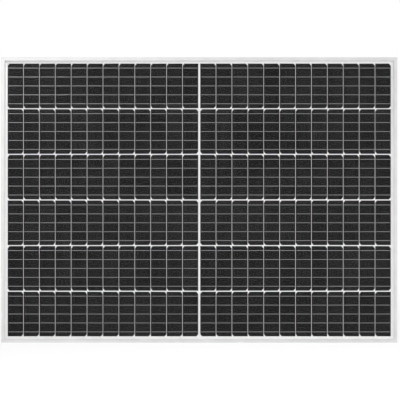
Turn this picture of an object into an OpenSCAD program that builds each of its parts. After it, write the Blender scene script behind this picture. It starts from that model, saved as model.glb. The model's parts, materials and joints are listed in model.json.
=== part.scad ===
// Framed photovoltaic module, upright, with its glass facing -Y.
// Origin: centre of the outer mounting-slot pattern, on the rear face of the frame.
// +X runs along the long edge, +Y points out of the rear, +Z is up. Millimetres.
// Depths are given as v, the distance in front of the rear face, so y = -v.

/* [Cells] */
// Width of one cut cell, along the string
cell_w = 54.7; // [48:0.1:80]
// Height of one cell, across the string
cell_h = 156.75; // [120:0.25:182]
// Thickness of a cell
cell_t = 0.2; // [0.15:0.05:0.3]
// Cells in one half-row string
string_cells = 12; // [11:1:16]
// Gap between cells of a string
cell_gap = 1.2; // [1:0.1:4]
// Gap between rows
row_gap = 3.6; // [2:0.1:8]
// Gap between the left and right halves
centre_gap = 7.2; // [6.5:0.1:20]
// Width of a cell's cut corner, along the string
corner_cut_w = 6.7; // [3:0.1:12]
// Height of a cell's cut corner, across the string
corner_cut_h = 8.1; // [3:0.1:12]

/* [Ribbons] */
// Tabbing ribbons on each cell
cell_ribbons = 5; // [3:1:9]
// Width of a tabbing ribbon
ribbon_w = 1; // [0.6:0.1:1.6]
// Thickness of a tabbing ribbon
ribbon_t = 0.25; // [0.15:0.05:0.35]
// Distance from a ribbon's free end to the cell's edge
ribbon_end = 2; // [1:0.5:6]
// Width of a bus ribbon
bus_w = 5; // [4:0.5:6]
// Distance from the outermost cell to the outer bus ribbon
bus_offset = 2; // [1:0.5:4]
// Length of a tabbing ribbon that lies on a bus ribbon
bus_lap = 2; // [1:0.1:2]

/* [Laminate] */
// Distance from the frame's outer face to the outermost cells, left and right
side_margin = 22.3; // [21.3:0.1:40]
// Distance from the frame's outer face to the cells, top and bottom
end_margin = 21.75; // [18:0.25:40]
// Thickness of the front glass
glass_t = 3.2; // [2:0.1:4]
// Thickness of the front encapsulant film
front_film_t = 0.4; // [0.3:0.05:0.6]
// Thickness of the rear encapsulant film
rear_film_t = 0.4; // [0.3:0.05:0.6]
// Thickness of the backsheet
backsheet_t = 0.35; // [0.25:0.05:0.5]
// Distance from the frame's outer face to the laminate's edge
laminate_inset = 3; // [2.5:0.5:5]

/* [Frame] */
// Depth of the frame, front to rear
frame_depth = 35; // [32:1:50]
// Thickness of the rails' walls
wall_t = 1.5; // [1.2:0.1:2]
// Width of the front lip over the glass
lip_w = 12.5; // [8:0.5:14]
// Thickness of the front lip
lip_t = 1.4; // [1:0.1:2]
// Width of the shelf behind the laminate and of the hollow chamber
chamber_w = 11; // [9:0.5:14]
// Clear depth of the hollow chamber, front to rear
chamber_depth = 14; // [8:0.5:16]
// Thickness of the rear flanges
flange_t = 1.8; // [1.4:0.1:2.5]
// Width of the rear flange of the long rails
long_flange_w = 35; // [30:1:40]
// Width of the rear flange of the short rails
short_flange_w = 20; // [15:1:30]
// Thickness of the seal on each side of the laminate
seal_t = 0.5; // [0.3:0.1:1]
// Size of the bevel on the frame's outer edges
edge_bevel = 0.5; // [0.2:0.1:1]
// Gap in each mitred corner
mitre_gap = 0.1; // [0.1:0.05:0.4]
// Length of a corner key's arm, from the frame's outer face
key_arm = 60; // [40:5:90]
// Clearance round a corner key
key_clearance = 0.1; // [0.1:0.05:0.3]

/* [Fixing holes] */
// Width of an outer mounting slot
outer_slot_w = 9; // [7:0.5:11]
// Length of an outer mounting slot
outer_slot_l = 14; // [12:0.5:20]
// Distance from the frame's end to the outer mounting slots, along the rail
outer_slot_end = 195.5; // [120:0.5:240]
// Width of an inner mounting slot
inner_slot_w = 7; // [6:0.5:9]
// Length of an inner mounting slot
inner_slot_l = 11; // [10:0.5:14]
// Distance between the inner mounting slots, along the rail
inner_slot_spacing = 400; // [300:10:500]
// Distance from the frame's outer face to the line of slots and holes
slot_inset = 21; // [18:0.5:23]
// Diameter of a grounding hole
ground_hole_d = 4.2; // [3:0.1:6]
// Distance from a grounding hole to the outer mounting slot beside it
ground_hole_offset = 150; // [60:5:200]
// Diameter of a drain hole in the short rails' rear flange
drain_hole_d = 6; // [4:0.5:8]
// Distance from the frame's end to a drain hole, along the rail
drain_hole_end = 61; // [45:1:150]

/* [Junction boxes] */
// Width of a box, along the strings
box_w = 36; // [34:1:50]
// Height of a box, along the centre line
box_h = 92; // [86:1:120]
// Depth of a box without its lid
box_depth = 14; // [14:0.5:16]
// Thickness of a box's walls
box_wall_t = 2; // [1.5:0.1:2.5]
// Thickness of a box's base
box_base_t = 2; // [1.5:0.1:2.5]
// Radius of a box's corners
box_corner_r = 5; // [4.5:0.5:8]
// Thickness of the adhesive pad under a box
adhesive_t = 1; // [0.5:0.1:1.5]
// Thickness of a lid's plate
lid_t = 2; // [1.5:0.1:2.5]
// Height of the raised field on a lid
lid_pad_t = 0.8; // [0.4:0.1:1.2]
// Distance from a lid's edge to its raised field
lid_pad_margin = 3.5; // [3:0.5:6]
// Radius of the raised field's corners
lid_pad_r = 2.5; // [1:0.5:4]
// Thickness of a lid gasket
gasket_t = 0.8; // [0.5:0.1:1]
// Depth of a lid's skirt inside the walls
skirt_depth = 4; // [2:0.5:5]
// Clearance round a lid's skirt and tongues
lid_clearance = 0.2; // [0.1:0.05:0.4]
// Width of a lid's snap tongue
tongue_w = 7; // [4:0.5:9]
// Depth of a lid's snap tongue
tongue_depth = 7; // [5:0.5:8]
// Distance between a lid's snap tongues, along the box
tongue_spacing = 50; // [40:1:60]
// Distance of a bus lead from the middle of its box
lead_offset = 9; // [8:0.5:10]
// Thickness of a bus lead
lead_t = 0.4; // [0.3:0.1:0.6]
// Clearance round a bus lead
lead_clearance = 0.4; // [0.3:0.1:0.6]
// Distance from a bus lead's side to the edge of the opening in the box's base
aperture_side = 3; // [2:0.5:4]
// Distance from a bus lead to the end of the opening in the box's base
aperture_end = 5; // [3:0.5:6]
// Thickness of a terminal plate
terminal_t = 0.8; // [0.6:0.1:1.2]
// How far a terminal plate laps over the base beside the opening
terminal_lap = 3.5; // [3:0.5:5]
// Distance from a terminal plate to the box's end wall
terminal_end = 8; // [6:0.5:12]
// Height of the posts that carry the terminal plates
post_h = 3.2; // [3.2:0.1:4]
// Width of the posts that carry the terminal plates
post_w = 4; // [3:0.5:5]
// Diameter of a diode's body
diode_d = 6; // [5:0.2:6.4]
// Length of a diode's body
diode_l = 9; // [7:0.5:11]
// Diameter of a diode's leads
diode_lead_d = 1.2; // [0.8:0.1:1.4]
// Distance from a diode's axis line to the terminal plates, beyond its radius
diode_gap = 3; // [2:0.5:4]
// Length of a diode's lead that lies on a terminal plate
diode_lap = 7; // [5:0.5:9]

/* [Cable glands] */
// Diameter of the cable that a gland takes
cable_d = 6; // [5:0.1:6.4]
// Outer diameter of a gland seal
gland_seal_d = 9; // [8.4:0.1:9.6]
// Outer diameter of the gland's threaded spigot
spigot_d = 12; // [11.5:0.1:12.4]
// Length of the gland's spigot
spigot_l = 13; // [12:0.5:18]
// Outer diameter of a gland nut
nut_d = 15; // [14.6:0.1:15.4]
// Thickness of a gland nut's end wall
nut_end_t = 2; // [1.5:0.1:3]
// Length of the cone on a gland nut's end
nut_cone_l = 2.5; // [1:0.5:3]
// How much narrower than the nut the cone's end is, all round
nut_cone_step = 1.5; // [0.5:0.5:1.5]
// Radial running clearance of a gland nut on its spigot
nut_clearance = 0.08; // [0.05:0.01:0.1]
// Gap between a gland nut and the face of its box
nut_gap = 1.5; // [1:0.5:3]
// Gap between a gland nut and the backsheet
nut_rear_gap = 0.3; // [0.2:0.05:0.5]

/* [Hidden] */

// Cuts reach this far past a face.
past = 1;
$fn = 48;

// Cell field
rows = 6;
cell_pitch = cell_w + cell_gap;
row_pitch = cell_h + row_gap;
half_field_w = centre_gap / 2 + string_cells * cell_pitch - cell_gap;
field_h = rows * row_pitch - row_gap;
panel_w = 2 * (half_field_w + side_margin);
panel_h = field_h + 2 * end_margin;
laminate_w = panel_w - 2 * laminate_inset;
laminate_h = panel_h - 2 * laminate_inset;
outer_slot_spacing = panel_w - 2 * outer_slot_end;
ground_hole_spacing = outer_slot_spacing - 2 * ground_hole_offset;
drain_hole_spacing = panel_h - 2 * drain_hole_end;
// A bus ribbon is as thick as a cell, so that tabbing ribbons lie flat on both.
bus_t = cell_t;
outer_bus_s = half_field_w + bus_offset;
// Grip grooves in the arms of the corner keys
key_grooves = 4;
key_groove_pitch = 6;
key_groove_w = 1.2;
key_groove_depth = 0.6;
// Where a tabbing ribbon's step begins and ends, from the cells' edges
step_run = cell_gap / 5;
// How far the step's front side leads its rear side, which keeps its thickness
step_lead = 0.1;

// Depths, from the rear face forward
lip_v = frame_depth - lip_t;
glass_front_v = lip_v - seal_t;
glass_v = glass_front_v - glass_t;
front_film_v = glass_v - front_film_t;
cell_front_v = front_film_v - ribbon_t;
cell_v = cell_front_v - cell_t;
rear_film_v = cell_v - ribbon_t - rear_film_t;
backsheet_v = rear_film_v - backsheet_t;
shelf_v = backsheet_v - seal_t;
chamber_top_v = shelf_v - wall_t;
chamber_v = chamber_top_v - chamber_depth;
box_front_v = backsheet_v - adhesive_t;
box_base_v = box_front_v - box_base_t;
box_rear_v = box_front_v - box_depth;
lid_front_v = box_rear_v - gasket_t;
lid_rear_v = lid_front_v - lid_t;
terminal_front_v = box_base_v - post_h;
terminal_v = terminal_front_v - terminal_t;
diode_axis_v = terminal_v - diode_lead_d / 2;

// Junction boxes: at the joins of rows 1 and 2, 3 and 4, and 5 and 6
box_row_joins = [1, 3, 5];
aperture_w = bus_w + 2 * aperture_side;
aperture_h = 2 * (lead_offset + aperture_end);
terminal_w = aperture_w + 2 * terminal_lap;
terminal_inner = diode_d / 2 + diode_gap;
terminal_outer = box_h / 2 - box_wall_t - terminal_end;
post_z = (aperture_h / 2 + terminal_outer) / 2;
post_x = terminal_w / 2 - post_w / 2;
diode_span = 2 * (terminal_inner + diode_lap);
skirt_t = 1.2;
tongue_t = 1.3;
tongue_gap = 0.8;
pocket_wall_t = 1.4;
pocket_end_gap = 1;
pocket_d = tongue_depth + pocket_end_gap;
tongue_x = box_w / 2 + tongue_gap;
pocket_w = tongue_w + 2 * (lid_clearance + pocket_wall_t);
pocket_reach = tongue_gap + tongue_t + lid_clearance + pocket_wall_t;
// The lid's ears over its snap tongues
ear_margin = 1;
ear_w = tongue_w + 2 * ear_margin;
ear_lap = 1;
lead_reach = 1;

// Cable glands
gland_axis_v = backsheet_v - nut_rear_gap - nut_d / 2;
gland_seal_clearance = 0.05;
gland_bore_d = gland_seal_d + 2 * gland_seal_clearance;
cable_clearance = 0.6;
gland_stop_d = cable_d + 2 * cable_clearance;
gland_seal_l = spigot_l;
seal_projection = 1;
seal_nut_gap = 0.3;
nut_l = spigot_l - nut_gap + seal_projection + seal_nut_gap + nut_end_t;
nut_mouth_clearance = 0.7;
nut_mouth_d = cable_d + 2 * nut_mouth_clearance;
nut_grips = 16;
nut_grip_d = 1.2;
thread_grooves = 4;
thread_pitch = 2.2;
thread_depth = 0.4;
thread_w = 0.8;

// ---- Helpers ----

// Extrudes a plane drawing in X and Z from depth v forward by t.
module slab(v, t) {
    translate([0, -v, 0]) rotate([90, 0, 0]) linear_extrude(t) children();
}

module rounded(w, h, r) {
    square([w - 2 * r, h], center = true);
    square([w, h - 2 * r], center = true);
    for (x = [-1, 1], z = [-1, 1])
        translate([x * (w / 2 - r), z * (h / 2 - r)]) circle(r);
}

// A plate in X and Z, centred on the origin
module plate(w, h, v, t) {
    slab(v, t) square([w, h], center = true);
}

// Turns what is drawn for the lower edge to another edge of the frame.
// turn 0 is the lower edge, 90 the left, 180 the upper and 270 the right.
module at_edge(turn) {
    reach = turn % 180 == 0 ? panel_h / 2 : panel_w / 2;
    rotate([0, turn, 0]) translate([0, 0, -reach]) children();
}

function row_z(row) = ((rows + 1) / 2 - row) * row_pitch;
function box_z(i) = (rows / 2 - box_row_joins[i]) * row_pitch;
function cell_s(i) = centre_gap / 2 + i * cell_pitch;

// Mirrors what is drawn for the right half to the left half.
module half(side) {
    mirror([side == "left" ? 1 : 0, 0, 0]) children();
}

// ---- Laminate ----

module lead_slots(v, t) {
    for (i = [0 : 2], side = [-1, 1])
        translate([0, 0, box_z(i) + side * lead_offset])
            plate(bus_w + 2 * lead_clearance, lead_t + 2 * lead_clearance,
                v - past, t + 2 * past);
}

module front_glass() {
    color([0.75, 0.85, 0.9, 0.25])
        plate(laminate_w, laminate_h, glass_v, glass_t);
}

module front_encapsulant() {
    color([0.95, 0.95, 0.95, 0.3])
        plate(laminate_w, laminate_h, front_film_v, front_film_t);
}

module rear_encapsulant() {
    color([0.95, 0.95, 0.95, 0.3]) difference() {
        plate(laminate_w, laminate_h, rear_film_v, rear_film_t);
        lead_slots(rear_film_v, rear_film_t);
    }
}

module backsheet() {
    color("white") difference() {
        plate(laminate_w, laminate_h, backsheet_v, backsheet_t);
        lead_slots(backsheet_v, backsheet_t);
    }
}

// One cell with its inner edge on x = 0. Its cut corners face away from the
// centre line when outward is true.
module cell(outward) {
    cut_x = outward ? cell_w : 0;
    in_x = outward ? cell_w - corner_cut_w : corner_cut_w;
    flat_x = outward ? 0 : cell_w;
    side_z = cell_h / 2 - corner_cut_h;
    slab(cell_v, cell_t) polygon([
        [flat_x, -cell_h / 2], [in_x, -cell_h / 2], [cut_x, -side_z],
        [cut_x, side_z], [in_x, cell_h / 2], [flat_x, cell_h / 2]
    ]);
}

module cell_string(side, row) {
    color([0.1, 0.11, 0.13]) half(side) translate([0, 0, row_z(row)])
        for (i = [0 : string_cells - 1])
            translate([cell_s(i), 0, 0]) cell(row % 2 == 1);
}

// A tabbing ribbon on the front of one cell and on the rear of its neighbour.
// It is drawn along +X from the front cell's edge at x = 0.
module step_ribbon() {
    reach = cell_w - ribbon_end;
    far = cell_gap + reach;
    linear_extrude(ribbon_w, center = true) polygon([
        [-reach, -cell_front_v],
        [step_run, -cell_front_v],
        [cell_gap - step_run, ribbon_t - cell_v],
        [far, ribbon_t - cell_v],
        [far, -cell_v],
        [cell_gap - step_run + step_lead, -cell_v],
        [step_run + step_lead, -cell_front_v - ribbon_t],
        [-reach, -cell_front_v - ribbon_t]
    ]);
}

// A flat tabbing ribbon from x = from to x = to, on the front or rear of the cells
module end_ribbon(from, to, front) {
    v = front ? cell_front_v : cell_v - ribbon_t;
    translate([from, -v - ribbon_t, -ribbon_w / 2]) cube([to - from, ribbon_t, ribbon_w]);
}

// The ribbons of one half-row along one line. Strings of odd rows carry their
// current outwards, so their ribbons step from front to rear away from the centre.
module ribbon_line(outward) {
    last = string_cells - 1;
    for (i = [0 : last - 1])
        translate([cell_s(i) + cell_w + (outward ? 0 : cell_gap), 0, 0])
            mirror([outward ? 0 : 1, 0, 0]) step_ribbon();
    end_ribbon(bus_w / 2 - bus_lap, cell_s(0) + cell_w - ribbon_end, !outward);
    end_ribbon(cell_s(last) + ribbon_end, outer_bus_s + bus_lap, outward);
}

module tabbing_ribbons(row) {
    color("silver") translate([0, 0, row_z(row)])
        for (side = ["left", "right"], n = [0 : cell_ribbons - 1])
            translate([0, 0, ((n + 0.5) / cell_ribbons - 0.5) * cell_h])
                half(side) ribbon_line(row % 2 == 1);
}

// Outer bus ribbons join the strings of two rows: 1 and 2, 3 and 4, 5 and 6.
module outer_bus_ribbons(side) {
    color("silver") half(side) for (row = [1, 3, 5])
        translate([outer_bus_s + bus_w / 2, 0, (row_z(row) + row_z(row + 1)) / 2])
            plate(bus_w, row_pitch + cell_h, cell_v, bus_t);
}

// A centre bus ribbon from z = low to z = high. The ends named in leads turn
// rearwards through the backsheet into a junction box.
module centre_bus(low, high, leads) {
    translate([0, 0, (low + high) / 2]) plate(bus_w, high - low, cell_v, bus_t);
    for (z = leads)
        translate([0, 0, z]) plate(bus_w, lead_t, terminal_v - lead_reach,
            cell_front_v - terminal_v + lead_reach);
}

module centre_bus_ribbons() {
    lap = lead_offset - lead_t / 2;
    edge = field_h / 2;
    color("silver") {
        centre_bus(box_z(0) + lap, edge, [box_z(0) + lead_offset]);
        centre_bus(box_z(1) + lap, box_z(0) - lap,
            [box_z(0) - lead_offset, box_z(1) + lead_offset]);
        centre_bus(box_z(2) + lap, box_z(1) - lap,
            [box_z(1) - lead_offset, box_z(2) + lead_offset]);
        centre_bus(-edge, box_z(2) - lap, [box_z(2) - lead_offset]);
    }
}

// ---- Frame ----

// A rail's section: x is the distance in from the outer face, y the depth v.
module rail_section(flange_w) {
    difference() {
        polygon([
            [edge_bevel, 0], [flange_w, 0], [flange_w, flange_t], [wall_t, flange_t],
            [wall_t, chamber_v - wall_t], [chamber_w, chamber_v - wall_t],
            [chamber_w, shelf_v], [wall_t, shelf_v], [wall_t, lip_v], [lip_w, lip_v],
            [lip_w, frame_depth - edge_bevel], [lip_w - edge_bevel, frame_depth],
            [edge_bevel, frame_depth], [0, frame_depth - edge_bevel], [0, edge_bevel]
        ]);
        translate([wall_t, chamber_v])
            square([chamber_w - 2 * wall_t, chamber_top_v - chamber_v]);
    }
}

// The shape between two mitred corners, out to width w, for an edge of this length
module mitred(length, w, gap) {
    end = length / 2 - gap * sqrt(2) / 2;
    slab(-past, frame_depth + 2 * past) polygon([
        [-end, 0], [end, 0], [end - w, w], [-end + w, w]
    ]);
}

// A rail along X with its outer face on z = 0
module rail(length, flange_w) {
    color([0.86, 0.87, 0.88]) intersection() {
        translate([-length / 2, 0, 0]) rotate([0, -90, 180])
            linear_extrude(length) rail_section(flange_w);
        mitred(length, max(flange_w, lip_w), mitre_gap);
    }
}

// Slots of one width and length, at both ends of a spacing along X
module slot_pair(spacing, w, l) {
    for (side = [-1, 1])
        translate([side * spacing / 2, 0, slot_inset]) slab(-past, flange_t + 2 * past) {
            square([l - w, w], center = true);
            for (end = [-1, 1]) translate([end * (l - w) / 2, 0]) circle(d = w);
        }
}

module hole_pair(spacing, d, inset) {
    for (side = [-1, 1])
        translate([side * spacing / 2, past, inset])
            rotate([90, 0, 0]) cylinder(d = d, h = flange_t + 2 * past);
}

module long_rail() {
    difference() {
        rail(panel_w, long_flange_w);
        slot_pair(outer_slot_spacing, outer_slot_w, outer_slot_l);
        slot_pair(inner_slot_spacing, inner_slot_w, inner_slot_l);
        hole_pair(ground_hole_spacing, ground_hole_d, slot_inset);
    }
}

module short_rail() {
    difference() {
        rail(panel_h, short_flange_w);
        hole_pair(drain_hole_spacing, drain_hole_d, short_flange_w / 2);
    }
}

// An L-shaped key in the lower left corner's chambers
module corner_key(turn_x, turn_z) {
    inner = wall_t + key_clearance;
    w = chamber_w - 2 * inner;
    v = chamber_v + key_clearance;
    depth = chamber_depth - 2 * key_clearance;
    corner = [-panel_w / 2, -panel_h / 2];
    color("darkgray") mirror([turn_x, 0, 0]) mirror([0, 0, turn_z])
        slab(v, depth) translate(corner) difference() {
            union() {
                translate([inner, inner]) square([key_arm - inner, w]);
                translate([inner, inner]) square([w, key_arm - inner]);
            }
            for (n = [1 : key_grooves]) {
                at = key_arm - n * key_groove_pitch;
                depth_at = inner + w - key_groove_depth;
                translate([at, depth_at]) square([key_groove_w, key_groove_depth + past]);
                translate([depth_at, at]) square([key_groove_depth + past, key_groove_w]);
            }
        }
}

// The seal's section: round the laminate's edge, in the rail's groove
module seal_section() {
    difference() {
        translate([wall_t, shelf_v]) square([chamber_w - wall_t, lip_v - shelf_v]);
        translate([laminate_inset, backsheet_v])
            square([chamber_w, glass_front_v - backsheet_v]);
    }
}

module seal_strip(length) {
    intersection() {
        translate([-length / 2, 0, 0]) rotate([0, -90, 180])
            linear_extrude(length) seal_section();
        mitred(length, chamber_w, 2 * mitre_gap);
    }
}

module frame_seal() {
    color("dimgray") {
        at_edge(0) seal_strip(panel_w);
        at_edge(180) seal_strip(panel_w);
        at_edge(90) seal_strip(panel_h);
        at_edge(270) seal_strip(panel_h);
    }
}

// ---- Junction boxes ----

module box_aperture(v, t) {
    plate(aperture_w, aperture_h, v - past, t + 2 * past);
}

module box_adhesive() {
    color("whitesmoke") for (i = [0 : 2])
        translate([0, 0, box_z(i)]) difference() {
            slab(box_front_v, adhesive_t) rounded(box_w, box_h, box_corner_r);
            box_aperture(box_front_v, adhesive_t);
        }
}

// Draws its children at the four snap tongues. They are drawn for the right side.
module at_tongues() {
    for (side = [0, 1], z = [-1, 1])
        mirror([side, 0, 0]) translate([0, 0, z * tongue_spacing / 2]) children();
}

module latch_pocket() {
    slot_w = tongue_w + 2 * lid_clearance;
    slab(box_rear_v, pocket_d) difference() {
        translate([box_w / 2 - box_wall_t / 2, -pocket_w / 2])
            square([box_wall_t / 2 + pocket_reach, pocket_w]);
        translate([tongue_x - lid_clearance, -slot_w / 2])
            square([tongue_t + 2 * lid_clearance, slot_w]);
    }
}

// The spigot points to +Z from the box's end face.
module gland_spigot() {
    translate([0, -gland_axis_v, box_h / 2 - box_wall_t / 2])
        difference() {
            cylinder(d = spigot_d, h = spigot_l + box_wall_t / 2);
            for (n = [1 : thread_grooves])
                translate([0, 0, box_wall_t / 2 + nut_gap + n * thread_pitch]) difference() {
                    cylinder(d = spigot_d + past, h = thread_w);
                    translate([0, 0, -past])
                        cylinder(d = spigot_d - 2 * thread_depth, h = thread_w + 2 * past);
                }
        }
}

module gland_bore() {
    translate([0, -gland_axis_v, box_h / 2]) {
        cylinder(d = gland_bore_d, h = spigot_l + past);
        translate([0, 0, -box_wall_t - past])
            cylinder(d = gland_stop_d, h = box_wall_t + 2 * past);
    }
}

// A box centred on z = 0. gland is 1 for a gland on its upper end, else 0.
module junction_box(gland) {
    color([0.13, 0.13, 0.13]) difference() {
        union() {
            difference() {
                slab(box_rear_v, box_depth) rounded(box_w, box_h, box_corner_r);
                slab(box_rear_v - past, box_depth - box_base_t + past)
                    rounded(box_w - 2 * box_wall_t, box_h - 2 * box_wall_t,
                        box_corner_r - box_wall_t);
                box_aperture(box_base_v, box_base_t);
            }
            for (x = [-1, 1], z = [-1, 1])
                translate([x * post_x, 0, z * post_z])
                    plate(post_w, post_w, terminal_front_v, post_h + box_base_t / 2);
            at_tongues() latch_pocket();
            if (gland == 1) gland_spigot();
        }
        if (gland == 1) gland_bore();
    }
}

// A lid centred on z = 0, with a skirt inside the walls and four snap tongues
module box_lid() {
    skirt_w = box_w - 2 * (box_wall_t + lid_clearance);
    skirt_h = box_h - 2 * (box_wall_t + lid_clearance);
    skirt_r = box_corner_r - box_wall_t - lid_clearance;
    color([0.13, 0.13, 0.13]) {
        slab(lid_rear_v - lid_pad_t, lid_pad_t + lid_t / 2)
            rounded(box_w - 2 * lid_pad_margin, box_h - 2 * lid_pad_margin, lid_pad_r);
        slab(lid_rear_v, lid_t) {
            rounded(box_w, box_h, box_corner_r);
            for (x = [-1, 1], z = [-1, 1])
                translate([x * (box_w + pocket_reach - ear_lap) / 2, z * tongue_spacing / 2])
                    square([pocket_reach + ear_lap, ear_w], center = true);
        }
        slab(lid_front_v - lid_t / 2, skirt_depth + lid_t / 2) difference() {
            rounded(skirt_w, skirt_h, skirt_r);
            rounded(skirt_w - 2 * skirt_t, skirt_h - 2 * skirt_t, skirt_r - skirt_t);
        }
        at_tongues() slab(lid_front_v - lid_t / 2, tongue_depth + gasket_t + lid_t / 2)
            translate([tongue_x, -tongue_w / 2]) square([tongue_t, tongue_w]);
    }
}

module lid_gasket() {
    color("dimgray") slab(lid_front_v, gasket_t) difference() {
        rounded(box_w, box_h, box_corner_r);
        rounded(box_w - 2 * box_wall_t, box_h - 2 * box_wall_t, box_corner_r - box_wall_t);
    }
}

// Two plates on the posts, each with a slot for its bus lead
module terminals() {
    slot_w = bus_w + 2 * lead_clearance;
    slot_h = lead_t + 2 * lead_clearance;
    color("goldenrod") slab(terminal_v, terminal_t) for (end = [0, 1])
        mirror([0, end]) difference() {
            translate([-terminal_w / 2, terminal_inner])
                square([terminal_w, terminal_outer - terminal_inner]);
            translate([-slot_w / 2, lead_offset - slot_h / 2]) square([slot_w, slot_h]);
        }
}

// An axial diode whose leads lie on the two terminal plates
module bypass_diode() {
    color([0.2, 0.2, 0.2]) translate([aperture_w / 2, -diode_axis_v, 0]) {
        cylinder(d = diode_d, h = diode_l, center = true);
        cylinder(d = diode_lead_d, h = diode_span, center = true);
    }
}

module gland_seal() {
    color([0.25, 0.25, 0.25]) translate([0, -gland_axis_v, box_h / 2]) difference() {
        cylinder(d = gland_seal_d, h = gland_seal_l + seal_projection);
        translate([0, 0, -past])
            cylinder(d = cable_d, h = gland_seal_l + seal_projection + 2 * past);
    }
}

module gland_nut() {
    inner_l = nut_l - nut_end_t;
    color([0.15, 0.15, 0.15]) translate([0, -gland_axis_v, box_h / 2 + nut_gap])
        difference() {
            union() {
                cylinder(d = nut_d, h = nut_l - nut_cone_l);
                translate([0, 0, nut_l - nut_cone_l])
                    cylinder(d1 = nut_d, d2 = nut_d - 2 * nut_cone_step, h = nut_cone_l);
            }
            translate([0, 0, -past])
                cylinder(d = spigot_d + 2 * nut_clearance, h = inner_l + past);
            cylinder(d = nut_mouth_d, h = nut_l + past);
            for (n = [0 : nut_grips - 1])
                rotate([0, 0, n * 360 / nut_grips]) translate([nut_d / 2 + nut_grip_d / 4, 0, -past])
                    cylinder(d = nut_grip_d, h = nut_l - nut_cone_l);
        }
}

// The upper box's gland points up, and the lower box's is turned to point down.
module at_box(i) {
    translate([0, 0, box_z(i)]) mirror([0, 0, i == 2 ? 1 : 0]) children();
}

// ---- Nodes ----

front_glass();
front_encapsulant();
rear_encapsulant();
backsheet();
for (side = ["left", "right"], row = [1 : rows])
    cell_string(side, row);
for (row = [1 : rows])
    tabbing_ribbons(row);
outer_bus_ribbons("left");  // left_bus_ribbons
centre_bus_ribbons();
outer_bus_ribbons("right");  // right_bus_ribbons
at_edge(0) long_rail();  // lower_rail
at_edge(180) long_rail();  // upper_rail
at_edge(90) short_rail();  // left_rail
at_edge(270) short_rail();  // right_rail
corner_key(0, 0);  // lower_left_corner_key
corner_key(1, 0);  // lower_right_corner_key
corner_key(0, 1);  // upper_left_corner_key
corner_key(1, 1);  // upper_right_corner_key
frame_seal();
box_adhesive();
at_box(0) junction_box(1);  // upper_box
at_box(1) junction_box(0);  // middle_box
at_box(2) junction_box(1);  // lower_box
at_box(0) box_lid();  // upper_box_lid
at_box(1) box_lid();  // middle_box_lid
at_box(2) box_lid();  // lower_box_lid
at_box(0) lid_gasket();  // upper_lid_gasket
at_box(1) lid_gasket();  // middle_lid_gasket
at_box(2) lid_gasket();  // lower_lid_gasket
at_box(0) terminals();  // upper_terminals
at_box(1) terminals();  // middle_terminals
at_box(2) terminals();  // lower_terminals
at_box(0) bypass_diode();  // upper_bypass_diode
at_box(1) bypass_diode();  // middle_bypass_diode
at_box(2) bypass_diode();  // lower_bypass_diode
at_box(0) gland_seal();  // upper_gland_seal
at_box(2) gland_seal();  // lower_gland_seal
at_box(0) gland_nut();  // upper_gland_nut
at_box(2) gland_nut();  // lower_gland_nut
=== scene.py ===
"""Looks of the framed photovoltaic module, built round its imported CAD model.

Everything is in metres in the row frame: X along the long edge, the glass facing -Y, Z up.
"""
import json
import math

import bmesh
import bpy
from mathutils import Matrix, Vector
from mathutils import noise as waviness


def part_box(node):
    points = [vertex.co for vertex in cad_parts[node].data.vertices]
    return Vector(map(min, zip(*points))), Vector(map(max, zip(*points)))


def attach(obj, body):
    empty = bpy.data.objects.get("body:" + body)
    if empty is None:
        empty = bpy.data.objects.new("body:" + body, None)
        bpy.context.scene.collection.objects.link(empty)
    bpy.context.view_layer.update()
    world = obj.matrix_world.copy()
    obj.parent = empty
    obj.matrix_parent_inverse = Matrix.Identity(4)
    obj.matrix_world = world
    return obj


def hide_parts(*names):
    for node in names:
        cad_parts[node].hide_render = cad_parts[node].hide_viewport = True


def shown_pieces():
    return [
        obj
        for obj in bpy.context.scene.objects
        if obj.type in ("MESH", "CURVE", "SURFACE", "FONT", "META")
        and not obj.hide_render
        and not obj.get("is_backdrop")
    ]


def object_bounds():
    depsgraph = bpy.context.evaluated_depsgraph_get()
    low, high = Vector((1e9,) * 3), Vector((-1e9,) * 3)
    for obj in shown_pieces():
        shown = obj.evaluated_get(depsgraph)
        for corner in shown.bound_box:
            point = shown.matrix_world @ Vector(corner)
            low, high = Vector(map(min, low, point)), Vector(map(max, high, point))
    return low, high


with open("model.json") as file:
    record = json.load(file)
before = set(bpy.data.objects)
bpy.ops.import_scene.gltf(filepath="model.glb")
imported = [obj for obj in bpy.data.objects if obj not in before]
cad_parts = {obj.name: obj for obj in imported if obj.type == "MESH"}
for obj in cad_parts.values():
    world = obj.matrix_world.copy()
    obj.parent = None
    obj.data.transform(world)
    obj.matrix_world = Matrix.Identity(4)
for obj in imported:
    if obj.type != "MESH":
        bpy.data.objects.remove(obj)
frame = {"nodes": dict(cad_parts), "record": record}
cad_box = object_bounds()
NODES = frame["nodes"]

# ---- Image points, in the photograph's frame ----

IMAGE_W = IMAGE_H = 400
EDGES = {"object_left": 1.0, "object_right": 397.15, "object_top": 57.43, "object_bottom": 342.8}
POINTS = {
    "cells_upper_left_corner": (7.9, 63.1),
    "cells_upper_right_corner": (391.0, 63.1),
    "cells_lower_left_corner": (7.9, 336.5),
    "cells_lower_right_corner": (391.0, 336.5),
    "centre_crossing": (199.4, 199.8),
    "first_gap_crossing": (23.3, 108.1),
    "last_gap_crossing": (375.6, 291.2),
    "left_upper_quarter_crossing": (102.65, 153.7),
    "right_lower_quarter_crossing": (296.2, 245.9),
}

# ---- The cell field, read from the frame ----

STRING_CELLS = 12
ROWS = 6


def cell_layout():
    """Sizes of the cell field, from the strings of cells."""
    low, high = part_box("cell_string_right_1")
    xs = sorted({round(v.co.x, 6) for v in NODES["cell_string_right_1"].data.vertices})
    next_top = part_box("cell_string_right_2")[1].z
    return {
        "half_gap": low.x,
        "cell_w": xs[2] - xs[0],
        "pitch": xs[3] - xs[0],
        "cell_h": high.z - low.z,
        "row_pitch": high.z - next_top,
        "top": high.z,
        "side": high.x,
        "front": low.y,
    }


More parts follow.
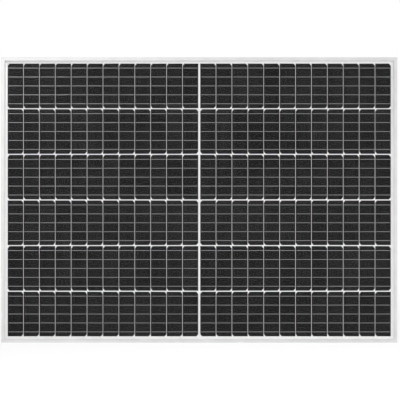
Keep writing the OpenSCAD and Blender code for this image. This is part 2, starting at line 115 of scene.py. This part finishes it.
FIELD = cell_layout()


# ---- Camera ----

LENS_MM = 150.0
SENSOR_MM = 36.0
FAR_CLIP = 200
LONG_SIDE = max(IMAGE_W, IMAGE_H)


def make_camera():
    """Looks straight at the glass. The photograph's left and right edges set how far away it stands.

    The module's centre shows halfway between the middle of the four edges and the centre crossing.
    """
    low, high = cad_box
    px_per_m = (EDGES["object_right"] - EDGES["object_left"]) / (high.x - low.x)
    cross_x, cross_y = POINTS["centre_crossing"]
    middle_x = (EDGES["object_left"] + EDGES["object_right"]) / 2
    middle_y = (EDGES["object_top"] + EDGES["object_bottom"]) / 2
    centre_x = (middle_x + cross_x) / 2
    centre_y = (middle_y + cross_y) / 2
    distance = LENS_MM * LONG_SIDE / (SENSOR_MM * px_per_m)
    data = bpy.data.cameras.new("camera")
    data.lens = LENS_MM
    data.sensor_width = SENSOR_MM
    data.sensor_fit = "AUTO"
    data.clip_end = FAR_CLIP
    camera = bpy.data.objects.new("camera", data)
    camera.rotation_euler = (math.pi / 2, 0, 0)
    camera.location = (
        (low.x + high.x) / 2 - (centre_x - IMAGE_W / 2) / px_per_m,
        low.y - distance,
        (low.z + high.z) / 2 + (centre_y - IMAGE_H / 2) / px_per_m,
    )
    bpy.context.scene.collection.objects.link(camera)
    bpy.context.scene.camera = camera
    bpy.context.view_layer.update()
    return camera


CAMERA = make_camera()


def image_place(point):
    """Where a point of the row frame shows in the image, in pixels."""
    p = CAMERA.matrix_world.inverted() @ Vector(point)
    scale = LENS_MM / SENSOR_MM * LONG_SIDE / -p.z
    shift = CAMERA.data
    return (
        IMAGE_W / 2 - shift.shift_x * LONG_SIDE + p.x * scale,
        IMAGE_H / 2 + shift.shift_y * LONG_SIDE - p.y * scale,
    )


# ---- Shader building ----


class Nodes:
    """A node tree, with short calls for the nodes used here."""

    def __init__(self, tree):
        self.tree = tree

    def put(self, socket, value):
        if isinstance(value, bpy.types.NodeSocket):
            self.tree.links.new(value, socket)
        else:
            socket.default_value = value

    def node(self, kind, sockets=(), **settings):
        made = self.tree.nodes.new("ShaderNode" + kind)
        for name, value in settings.items():
            setattr(made, name, value)
        for name, value in dict(sockets).items():
            self.put(made.inputs[name], value)
        return made

    def math(self, operation, *values):
        made = self.node("Math", operation=operation)
        for socket, value in zip(made.inputs, values):
            self.put(socket, value)
        return made.outputs[0]

    def place(self, scale=(1, 1, 1)):
        """Coordinates of the row frame in metres, times scale."""
        source = self.node("TexCoord").outputs["Object"]
        made = self.node("VectorMath", operation="MULTIPLY")
        self.put(made.inputs[0], source)
        self.put(made.inputs[1], scale)
        return made.outputs[0]

    def noise(self, scale=(1, 1, 1), detail=3.0, roughness=0.5):
        made = self.node("TexNoise", {
            "Vector": self.place(scale),
            "Scale": 1.0,
            "Detail": detail,
            "Roughness": roughness,
        })
        return made.outputs["Fac"]

    def spread(self, value, low, high, start=0.0, end=1.0):
        """Maps value from start..end to low..high."""
        made = self.node("MapRange", {
            "Value": value, "From Min": start, "From Max": end, "To Min": low, "To Max": high,
        })
        return made.outputs[0]

    def mix(self, share, first, second):
        """Mixes two colours, by the Mix node's own share and colour sockets."""
        made = self.node("Mix", data_type="RGBA")
        self.put(made.inputs[0], share)
        self.put(made.inputs[6], first)
        self.put(made.inputs[7], second)
        return made.outputs[2]

    def bump(self, height, distance, strength):
        made = self.node("Bump", {"Height": height, "Distance": distance, "Strength": strength})
        return made.outputs["Normal"]

    def seen(self, *kinds):
        """1 for rays of these kinds and 0 for all others."""
        path = self.node("LightPath").outputs
        found = path[f"Is {kinds[0]} Ray"]
        for kind in kinds[1:]:
            found = self.math("MAXIMUM", found, path[f"Is {kind} Ray"])
        return found


class Shader(Nodes):
    """A material that starts as a Principled surface."""

    def __init__(self, name):
        self.material = bpy.data.materials.new(name)
        self.material.use_nodes = True
        super().__init__(self.material.node_tree)
        self.surface = self.tree.nodes["Principled BSDF"]

    def finish_as(self, shader):
        """Shows another shader in place of the Principled one."""
        self.tree.nodes.remove(self.surface)
        self.put(self.tree.nodes["Material Output"].inputs["Surface"], shader.outputs[0])
        return self.material

    def finish(self, **sockets):
        """Sets Principled sockets, named with _ for a space."""
        for name, value in sockets.items():
            self.put(self.surface.inputs[name.replace("_", " ")], value)
        return self.material


def grey(value):
    return (value, value, value, 1.0)


# ---- Materials ----


def cell_ways(look):
    """How far a point lies out from the centre gap and down from the cells' top, and its x."""
    axes = look.node("SeparateXYZ", {"Vector": look.place()})
    x = axes.outputs["X"]
    out = look.math("SUBTRACT", look.math("ABSOLUTE", x), FIELD["half_gap"])
    down = look.math("SUBTRACT", FIELD["top"], axes.outputs["Z"])
    return out, down, x


def cells_passed(look, way, pitch):
    """How many whole cells lie before this point of the way."""
    return look.math("FLOOR", look.math("DIVIDE", way, pitch))


def cell_number(look):
    """A number of its own for each cell."""
    out, down, x = cell_ways(look)
    row = cells_passed(look, down, FIELD["row_pitch"])
    column = cells_passed(look, out, FIELD["pitch"])
    number = look.math("MULTIPLY_ADD", row, 2.0 * STRING_CELLS, column)
    left = look.math("LESS_THAN", x, 0.0)
    return look.math("MULTIPLY_ADD", left, STRING_CELLS, number)


def cell_cover(look):
    """1 over a cell and 0 beside it, the cut corners aside."""
    out, down, _ = cell_ways(look)
    cover = 1.0
    for way, pitch, size, count in (
        (out, FIELD["pitch"], FIELD["cell_w"], STRING_CELLS),
        (down, FIELD["row_pitch"], FIELD["cell_h"], ROWS),
    ):
        begun = look.math("GREATER_THAN", way, 0.0)
        not_over = look.math("LESS_THAN", cells_passed(look, way, pitch), count - 0.5)
        in_cell = look.math("LESS_THAN", look.math("FLOORED_MODULO", way, pitch), size)
        for test in (begun, not_over, in_cell):
            cover = look.math("MULTIPLY", cover, test)
    return cover


# Index of the anti-reflective coating, lower than that of bare glass, so that it mirrors less
GLASS_COAT_IOR = 1.17
# Distance between printed fingers
FINGER_PITCH = 0.00155


def silicon():
    """Dark coated monocrystalline silicon, with fine printed fingers across the ribbons."""
    look = Shader("silicon_cell")
    cell = look.node("TexWhiteNoise", noise_dimensions="1D")
    look.put(cell.inputs["W"], cell_number(look))
    tone = look.spread(cell.outputs["Value"], 0.82, 1.18)
    stripes = look.spread(look.noise((150, 1, 2), detail=2.0), 0.7, 1.3, 0.3, 0.7)
    cloud = look.spread(look.noise((7, 1, 7), detail=4.0), 0.78, 1.22, 0.3, 0.7)
    level = look.math("MULTIPLY", look.math("MULTIPLY", tone, stripes), cloud)
    x = look.node("SeparateXYZ", {"Vector": look.place()}).outputs["X"]
    wave = look.math("COSINE", look.math("MULTIPLY", x, 2 * math.pi / FINGER_PITCH))
    finger = look.math("POWER", look.spread(wave, 0.0, 1.0, -1.0, 1.0), 6.0)
    printed = look.mix(look.math("MULTIPLY", finger, 0.15), grey(0.016), grey(0.24))
    colour = look.mix(look.math("MULTIPLY", level, 0.5), grey(0.0), printed)
    rough = look.spread(stripes, 0.34, 0.44, 0.7, 1.3)
    return look.finish(Base_Color=colour, Roughness=rough, Specular_IOR_Level=0.06,
                       Normal=look.bump(finger, 0.00002, 0.3))


def tinned_copper(name, dark, light, metallic):
    """Solder-dipped ribbon: bright, with soft dapples and faint lengthwise drag lines."""
    look = Shader(name)
    dapple = look.noise((600, 600, 900), detail=4.0)
    colour = look.mix(look.spread(dapple, 0.0, 1.0, 0.3, 0.7), grey(dark), grey(light))
    rough = look.spread(look.noise((60, 900, 900), detail=2.0), 0.28, 0.45, 0.3, 0.7)
    return look.finish(Base_Color=colour, Metallic=metallic, Roughness=rough,
                       Normal=look.bump(dapple, 0.00003, 0.5))


def clear_view(look, tint):
    """Straight view through a thin clear piece, which lets lamps and bounced light pass.

    The view takes a Refraction shader that bends nothing, because Cycles stops after a few
    Transparent faces, and six clear faces lie before the backsheet.
    """
    through = look.node("BsdfTransparent", {"Color": tint})
    view = look.node("BsdfRefraction", {"Color": tint, "Roughness": 0.0, "IOR": 1.0})
    seen = look.seen("Camera", "Transmission")
    return look.node("MixShader", {0: seen, 1: through.outputs[0], 2: view.outputs[0]})


def solar_glass():
    """Low-iron glass with an anti-reflective, faintly figured surface, which mirrors only from outside."""
    look = Shader("solar_glass")
    outside = look.math("SUBTRACT", 1.0, look.node("NewGeometry").outputs["Backfacing"])
    figure = look.bump(look.noise((260, 260, 260), detail=2.0), 0.00002, 0.25)
    mirror = look.node("Fresnel", {"IOR": GLASS_COAT_IOR, "Normal": figure})
    rough = look.spread(look.noise((9, 9, 9)), 0.20, 0.28, 0.3, 0.7)
    gloss = look.node("BsdfAnisotropic", {"Color": grey(1.0), "Roughness": rough, "Normal": figure})
    tint = look.mix(look.noise((5, 5, 5)), grey(0.996), grey(1.0))
    share = look.math("MULTIPLY", mirror.outputs[0], outside)
    clear = clear_view(look, tint)
    return look.finish_as(look.node("MixShader", {0: share, 1: clear.outputs[0], 2: gloss.outputs[0]}))


def clear_film(name, plain):
    """Laminated encapsulant, clear with the faintest cloudiness. A plain one is only Transparent."""
    look = Shader(name)
    cloud = look.spread(look.noise((40, 40, 40), detail=4.0), 0.0, 1.0, 0.3, 0.7)
    tint = look.mix(cloud, grey(0.996), grey(1.0))
    return look.finish_as(look.node("BsdfTransparent", {"Color": tint}) if plain else clear_view(look, tint))


def white_backsheet():
    """White polymer film. Cells behind it show through faintly and press through as low relief."""
    look = Shader("backsheet")
    cover = cell_cover(look)
    mottled = look.spread(look.noise((900, 900, 900), detail=4.0), 0.0, 1.0, 0.3, 0.7)
    bare = look.mix(mottled, grey(0.90), grey(0.94))
    over_cell = look.mix(mottled, grey(0.83), grey(0.88))
    relief = look.math("MULTIPLY_ADD", cover, 3.0, look.noise((500, 500, 500), detail=3.0))
    return look.finish(Base_Color=look.mix(cover, bare, over_cell), Roughness=0.5,
                       Specular_IOR_Level=0.3, Normal=look.bump(relief, 0.00004, 0.5))


def anodised(name, along):
    """Satin silver anodising with extrusion lines along the rail's own axis."""
    look = Shader(name)
    lines = tuple(3.0 if axis == along else 1400.0 for axis in "xyz")
    drawn = look.noise(lines, detail=4.0, roughness=0.6)
    cloud = look.noise((22, 22, 22), detail=3.0)
    level = look.math("MULTIPLY_ADD", cloud, 0.4, look.math("MULTIPLY", drawn, 0.6))
    colour = look.mix(look.spread(level, 0.0, 1.0, 0.35, 0.65), grey(0.64), grey(0.76))
    rough = look.spread(drawn, 0.34, 0.5, 0.3, 0.7)
    return look.finish(Base_Color=colour, Metallic=0.65, Roughness=rough,
                       Normal=look.bump(drawn, 0.00004, 0.6))


def mill_aluminium():
    """Unfinished extruded aluminium of the corner keys."""
    look = Shader("key_aluminium")
    drawn = look.noise((300, 8, 300), detail=4.0)
    colour = look.mix(drawn, grey(0.42), grey(0.6))
    return look.finish(Base_Color=colour, Metallic=0.9, Roughness=look.spread(drawn, 0.35, 0.6),
                       Normal=look.bump(drawn, 0.00004, 0.5))


def rubbery(name, dark, light):
    """Cured silicone or soft rubber, slightly mottled."""
    look = Shader(name)
    mottled = look.noise((420, 420, 420), detail=4.0)
    colour = look.mix(look.spread(mottled, 0.0, 1.0, 0.3, 0.7), grey(dark), grey(light))
    return look.finish(Base_Color=colour, Roughness=look.spread(mottled, 0.52, 0.70),
                       Specular_IOR_Level=0.35, Normal=look.bump(mottled, 0.0001, 0.4))


# Radius to which the moulded pieces' edges look rounded
MOULD_EDGE_R = 0.0007


def moulded(name, dark, light, rough):
    """Spark-eroded moulded polymer, its sharp edges softened."""
    look = Shader(name)
    grain = look.noise((2600, 2600, 2600), detail=2.0)
    flow = look.noise((45, 45, 45), detail=3.0)
    colour = look.mix(look.spread(flow, 0.0, 1.0, 0.3, 0.7), grey(dark), grey(light))
    soft = look.node("Bevel", {"Radius": MOULD_EDGE_R}, samples=4).outputs[0]
    bump = look.node("Bump", {"Height": grain, "Distance": 0.00006, "Strength": 0.5, "Normal": soft})
    return look.finish(Base_Color=colour, Roughness=look.spread(flow, rough - 0.05, rough + 0.08),
                       Specular_IOR_Level=0.45, Normal=bump.outputs["Normal"])


def copper():
    """Stamped copper: rolling lines along the plate and a light, uneven tarnish."""
    look = Shader("terminal_copper")
    stain = look.noise((90, 90, 90), detail=5.0)
    rolled = look.noise((2600, 2600, 60), detail=3.0)
    level = look.math("MULTIPLY_ADD", stain, 0.6, look.math("MULTIPLY", rolled, 0.4))
    colour = look.mix(look.spread(level, 0.0, 1.0, 0.35, 0.65), (0.56, 0.27, 0.16, 1), (0.74, 0.41, 0.26, 1))
    return look.finish(Base_Color=colour, Metallic=0.95, Roughness=look.spread(rolled, 0.28, 0.46, 0.3, 0.7),
                       Normal=look.bump(rolled, 0.00003, 0.4))


def dress_frame():
    """Gives every CAD node its finished material by the record's material slot."""
    by_slot = {
        "solar_glass": solar_glass(),
        "encapsulant": clear_film("rear_encapsulant", plain=False),
        "silicon_cell": silicon(),
        "tinned_ribbon": tinned_copper("tinned_ribbon", 0.47, 0.64, 0.8),
        "backsheet": white_backsheet(),
        "key_aluminium": mill_aluminium(),
        "seal_silicone": rubbery("seal_silicone", 0.55, 0.68),
        "adhesive_silicone": rubbery("adhesive_silicone", 0.7, 0.82),
        "box_plastic": moulded("box_plastic", 0.012, 0.024, 0.42),
        "gasket_rubber": rubbery("gasket_rubber", 0.03, 0.06),
        "terminal_copper": copper(),
        "diode_epoxy": moulded("diode_epoxy", 0.014, 0.024, 0.3),
        "gland_rubber": rubbery("gland_rubber", 0.012, 0.024),
        "nut_plastic": moulded("nut_plastic", 0.016, 0.03, 0.48),
    }
    rails = {"x": anodised("anodised_frame_x", "x"), "z": anodised("anodised_frame_z", "z")}
    bus = tinned_copper("bus_ribbon", 0.80, 0.92, 0.5)
    front_film = clear_film("front_encapsulant", plain=True)
    for part in frame["record"]["subparts"]:
        node, slot = part["node"], part["material_slot"]
        if slot == "anodised_frame":
            low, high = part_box(node)
            material = rails["x" if high.x - low.x > high.z - low.z else "z"]
        elif "bus" in node:
            material = bus
        elif node == "front_encapsulant":
            material = front_film
        else:
            material = by_slot[slot]
        for held in NODES[node].material_slots:
            held.material = material
    return by_slot


MATERIALS = dress_frame()

# ---- Added pieces ----

PLACES = ("upper", "middle", "lower")
# How far each face of a film stays clear of the face it touches
FILM_CLEAR = 0.00002
# Beads of sealant: their sides, the parts of a round corner and the steps along a path
BEAD_SIDES = 10
CORNER_PARTS = 6
PATH_STEP = 0.003
RAIL_STEP = 0.008
# How much a bead's thickness varies, and how quickly along it
BEAD_UNEVEN = 0.16
BEAD_WAVES = 60
# The bead round a box's foot, and how far its centre stands off the backsheet in radii
BOX_BEAD_R = 0.0012
BOX_BEAD_CORNER_R = 0.005
BOX_BEAD_RISE = 0.5
# The bead along a rail's shelf, and how far its centre stands off the backsheet in radii
RAIL_BEAD_R = 0.0014
RAIL_BEAD_RISE = 0.4
# How far a rail's shelf reaches in from the frame's edge
SHELF_W = 0.011
# A solder mound: half its size, its mesh, and how much and how quickly its shape varies
SOLDER_HALF = Vector((0.0034, 0.0011, 0.0018))
SOLDER_SIDES = 20
SOLDER_RINGS = 12
SOLDER_UNEVEN = 0.12
SOLDER_WAVES = 1.7
# How far a mound's centre lies behind the terminal plate, and from the middle of the box
SOLDER_LIFT = 0.0001
LEAD_OFFSET = 0.009


def add_film(node, name):
    """A film as laminated, a hair clear of the faces it touches so that no two clear faces coincide."""
    low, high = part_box(node)
    middle = (low.y + high.y) / 2
    data = NODES[node].data.copy()
    for vert in data.vertices:
        vert.co.y += FILM_CLEAR if vert.co.y < middle else -FILM_CLEAR
    piece = bpy.data.objects.new(name, data)
    bpy.context.scene.collection.objects.link(piece)
    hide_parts(node)
    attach(piece, "panel")


def finish_piece(name, mesh, slot):
    """Links a smooth piece of trim and lets it ride."""
    data = bpy.data.meshes.new(name)
    mesh.to_mesh(data)
    mesh.free()
    data.materials.append(MATERIALS[slot])
    for face in data.polygons:
        face.use_smooth = True
    piece = bpy.data.objects.new(name, data)
    bpy.context.scene.collection.objects.link(piece)
    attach(piece, "panel")


def bead(mesh, path, radius, closed):
    """A round bead of sealant along a path in an X-Z plane, its thickness a little uneven."""
    rings = []
    count = len(path)
    for n, point in enumerate(path):
        before = path[n - 1] if closed or n else point
        after = path[(n + 1) % count] if closed or n < count - 1 else point
        ahead = (after - before).normalized()
        across = ahead.cross(Vector((0, 1, 0)))
        size = radius * (1 + BEAD_UNEVEN * waviness.noise(point * BEAD_WAVES))
        ring = []
        for side in range(BEAD_SIDES):
            turn = 2 * math.pi * side / BEAD_SIDES
            out = across * math.cos(turn) + Vector((0, 1, 0)) * math.sin(turn)
            ring.append(mesh.verts.new(point + out * size))
        rings.append(ring)
    following_rings = rings[1:] + rings[:1] if closed else rings[1:]
    for first, second in zip(rings, following_rings):
        for side in range(BEAD_SIDES):
            following = (side + 1) % BEAD_SIDES
            mesh.faces.new((first[side], first[following], second[following], second[side]))
    if not closed:
        mesh.faces.new(reversed(rings[0]))
        mesh.faces.new(rings[-1])


def rounded_path(low, high, radius, y):
    """Points round a rectangle with round corners, in the plane of y, about PATH_STEP apart."""
    points = []
    corners = [(high.x, high.z, 0), (low.x, high.z, 90), (low.x, low.z, 180), (high.x, low.z, 270)]
    middle = (low + high) / 2
    for x, z, start in corners:
        centre_x = x - math.copysign(radius, x - middle.x)
        centre_z = z - math.copysign(radius, z - middle.z)
        centre = Vector((centre_x, y, centre_z))
        for n in range(CORNER_PARTS + 1):
            turn = math.radians(start + n * 90 / CORNER_PARTS)
            points.append(centre + Vector((math.cos(turn), 0, math.sin(turn))) * radius)
    filled = []
    for first, second in zip(points, points[1:] + points[:1]):
        parts = max(1, round((second - first).length / PATH_STEP))
        filled += [first.lerp(second, n / parts) for n in range(parts)]
    return filled


def add_box_beads():
    """Adhesive pressed out round the foot of each junction box."""
    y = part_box("backsheet")[1].y + BOX_BEAD_R * BOX_BEAD_RISE
    for place in PLACES:
        low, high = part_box(f"{place}_lid_gasket")
        mesh = bmesh.new()
        bead(mesh, rounded_path(low, high, BOX_BEAD_CORNER_R, y), BOX_BEAD_R, closed=True)
        finish_piece(f"{place}_box_bead", mesh, "adhesive_silicone")


def add_rail_beads():
    """Sealant pressed out of the groove, between the backsheet and each rail's shelf."""
    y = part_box("backsheet")[1].y + RAIL_BEAD_R * RAIL_BEAD_RISE
    low, high = cad_box
    left, right = low.x + SHELF_W, high.x - SHELF_W
    bottom, top = low.z + SHELF_W, high.z - SHELF_W
    runs = {
        "lower": (Vector((left, y, bottom)), Vector((right, y, bottom))),
        "right": (Vector((right, y, bottom)), Vector((right, y, top))),
        "upper": (Vector((right, y, top)), Vector((left, y, top))),
        "left": (Vector((left, y, top)), Vector((left, y, bottom))),
    }
    for name, (start, end) in runs.items():
        parts = round((end - start).length / RAIL_STEP)
        path = [start.lerp(end, n / parts) for n in range(parts + 1)]
        mesh = bmesh.new()
        bead(mesh, path, RAIL_BEAD_R, closed=False)
        finish_piece(f"{name}_rail_bead", mesh, "seal_silicone")


def add_solder():
    """A solder mound where each bus lead comes through its terminal plate."""
    for place in PLACES:
        low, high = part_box(f"{place}_terminals")
        centre_z = (low.z + high.z) / 2
        for end, turn in (("outer", 1), ("inner", -1)):
            mesh = bmesh.new()
            bmesh.ops.create_uvsphere(
                mesh, u_segments=SOLDER_SIDES, v_segments=SOLDER_RINGS, radius=1.0,
            )
            seat = Vector((0, high.y + SOLDER_LIFT, centre_z + turn * LEAD_OFFSET))
            for vert in mesh.verts:
                spot = vert.co * SOLDER_WAVES + Vector((turn, centre_z, 0))
                size = 1 + SOLDER_UNEVEN * waviness.noise(spot)
                vert.co = seat + vert.co * SOLDER_HALF * size
            finish_piece(f"{place}_{end}_solder", mesh, "tinned_ribbon")


add_film("front_encapsulant", "front_film")
add_film("rear_encapsulant", "rear_film")
add_box_beads()
add_rail_beads()
add_solder()

# ---- Floor, world and lamps ----

# The world's strength for the light that falls on things. What is seen or mirrored has strength 1
AMBIENT = 0.44
FLOOR_R = 40.0
FLOOR_SIDES = 72
# How white the floor shows near the module. From FLOOR_NEAR to FLOOR_FAR it goes over to full white
FLOOR_LIFT = 0.8
FLOOR_NEAR = 1.4
FLOOR_FAR = 5.0


def make_floor():
    """A wide white floor that keeps the module's shadow and runs out into the white world."""
    mesh = bmesh.new()
    rim = []
    for side in range(FLOOR_SIDES):
        turn = 2 * math.pi * side / FLOOR_SIDES
        rim.append(mesh.verts.new((FLOOR_R * math.cos(turn), FLOOR_R * math.sin(turn), cad_box[0].z)))
    mesh.faces.new(rim)
    data = bpy.data.meshes.new("floor")
    mesh.to_mesh(data)
    mesh.free()
    floor = bpy.data.objects.new("floor", data)
    bpy.context.scene.collection.objects.link(floor)
    look = Shader("floor")
    matt = look.node("BsdfDiffuse", {"Color": grey(0.9), "Roughness": 1.0})
    white = look.node("Emission", {"Color": grey(1.0), "Strength": 1.0})
    away = look.node("VectorMath", {"Vector": look.place()}, operation="LENGTH").outputs["Value"]
    lift = look.spread(away, FLOOR_LIFT, 1.0, FLOOR_NEAR, FLOOR_FAR)
    share = look.math("MULTIPLY", look.seen("Camera", "Glossy", "Transmission"), lift)
    mixed = look.node("MixShader", {0: share, 1: matt.outputs[0], 2: white.outputs[0]})
    data.materials.append(look.finish_as(mixed))
    floor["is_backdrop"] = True


def make_world():
    """White where it is seen or mirrored, and a soft even light everywhere else."""
    world = bpy.data.worlds.new("world")
    bpy.context.scene.world = world
    world.use_nodes = True
    sky = Nodes(world.node_tree)
    back = sky.tree.nodes["Background"]
    sky.put(back.inputs["Color"], grey(1.0))
    level = sky.spread(sky.seen("Camera", "Glossy", "Transmission"), AMBIENT, 1.0)
    sky.put(back.inputs["Strength"], level)


def area_lamp(name, place, aim, size, power, spread=180, mirrored=True):
    """A lamp of this width and height, with its beam's full angle. Only a mirrored one shows in gloss."""
    data = bpy.data.lights.new(name, "AREA")
    data.shape = "RECTANGLE"
    data.size, data.size_y = size
    data.energy = power
    data.spread = math.radians(spread)
    lamp = bpy.data.objects.new(name, data)
    lamp.location = place
    lamp.rotation_euler = (Vector(aim) - Vector(place)).to_track_quat("-Z", "Y").to_euler()
    lamp.visible_camera = False
    lamp.visible_glossy = mirrored
    bpy.context.scene.collection.objects.link(lamp)


make_floor()
make_world()
area_lamp("front", (1.3, -6.0, 1.4), (0, 0, 0), (1.2, 1.2), 62, mirrored=False)
area_lamp("fill", (0.3, -2.4, -0.27), (0.3, 0, -0.4), (2.6, 0.2), 9, spread=90, mirrored=False)
area_lamp("key", (-1.9, -5.0, 1.45), (0, 0, 0), (1.6, 1.6), 30)
area_lamp("back", (2.2, 4.6, 2.4), (0, 0, 0), (2.6, 2.6), 120)
bpy.context.scene.view_settings.view_transform = "Standard"

# ---- Where the shown vertices fall in the image ----


def shown_vertices():
    """Every vertex of the shown pieces, in the row frame."""
    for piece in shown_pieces():
        world = piece.matrix_world
        for vert in piece.data.vertices:
            yield world @ vert.co


def write_points():
    """Works out where each shown vertex falls in the image, and does nothing more with it."""
    places = [image_place(p) for p in shown_vertices()]


write_points()
